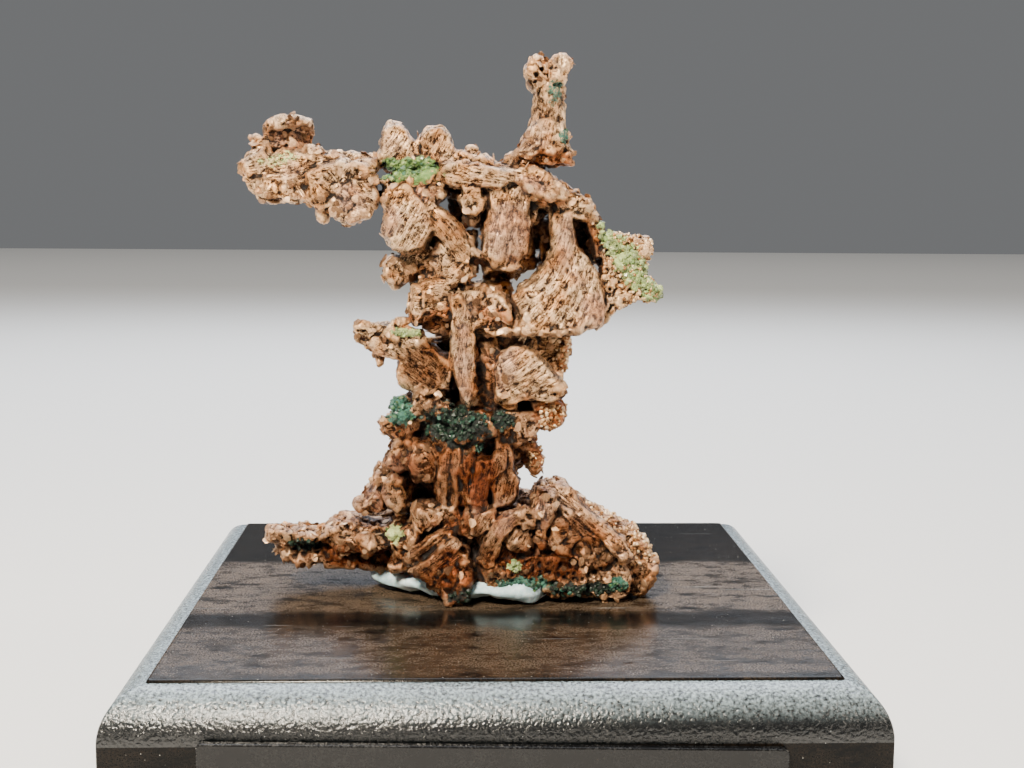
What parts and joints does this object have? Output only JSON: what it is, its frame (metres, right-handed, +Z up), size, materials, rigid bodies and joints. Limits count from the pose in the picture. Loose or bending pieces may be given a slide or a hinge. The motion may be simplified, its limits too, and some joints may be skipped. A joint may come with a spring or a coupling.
{
  "type": "native copper nugget on a display base",
  "caption": "Branching native copper nugget with crumpled leaves and green malachite crust, held by mineral tack on a square black display base with a blank plate.",
  "frame": {"origin": "centre of the display base's underside", "axes": "+Z up, -Y towards the viewer who reads the plate, +X to that viewer's right"},
  "size_m": [0.076, 0.0771, 0.0815],
  "materials": {
    "copper": "tarnished native copper, tan highlights, orange-brown recesses",
    "dark_copper": "dark tarnished native copper with brown and black recesses",
    "malachite": "powdery to glassy green crust",
    "tack": "pale blue-white putty, smooth and slightly waxy",
    "black_base": "gloss black lacquer, flat top, stippled rounded shoulder",
    "plate": "blank gloss black plate with a bright cut edge"
  },
  "bodies": {
    "root": {"copper_foot": "dark_copper", "copper_left_spur": "dark_copper", "copper_trunk": "dark_copper", "copper_paddle": "copper", "copper_left_stem": "copper", "copper_body": "copper", "copper_fan": "copper", "copper_crown": "copper", "copper_left_arm": "copper", "copper_finger": "copper", "copper_right_wing": "copper", "mineral_tack": "tack", "display_base": "black_base", "label_plate": "plate"}
  },
  "joints": []
}
